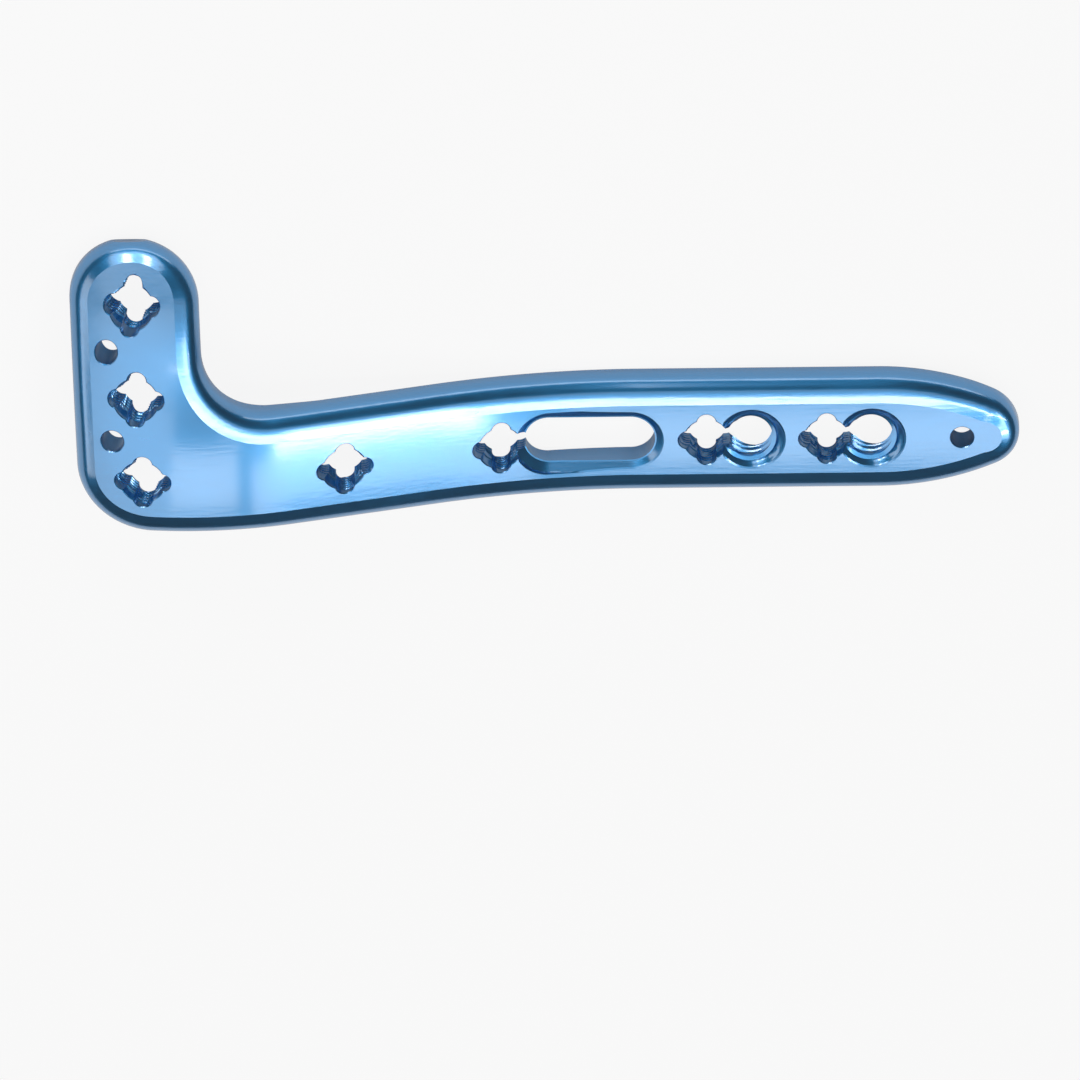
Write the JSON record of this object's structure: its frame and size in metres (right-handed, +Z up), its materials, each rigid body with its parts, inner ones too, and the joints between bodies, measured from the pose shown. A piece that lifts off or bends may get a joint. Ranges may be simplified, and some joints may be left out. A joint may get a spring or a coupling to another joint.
{
  "type": "bone plate",
  "caption": "L-shaped bone plate with a bent neck, clover-shaped locking holes, round threaded holes, a long slot and wire holes.",
  "frame": {"origin": "middle of the footprint of the bounding box, at the lowest point, with the plate lying on its bone side", "axes": "+X along the shaft towards its tip, +Y the way the side arm runs, +Z up, out of the outer face"},
  "size_m": [0.1024, 0.032, 0.0111],
  "materials": {
    "anodised_titanium": "blue anodised, satin with a fine lengthwise grain"
  },
  "bodies": {
    "root": {"bone_plate": "anodised_titanium"}
  },
  "joints": []
}
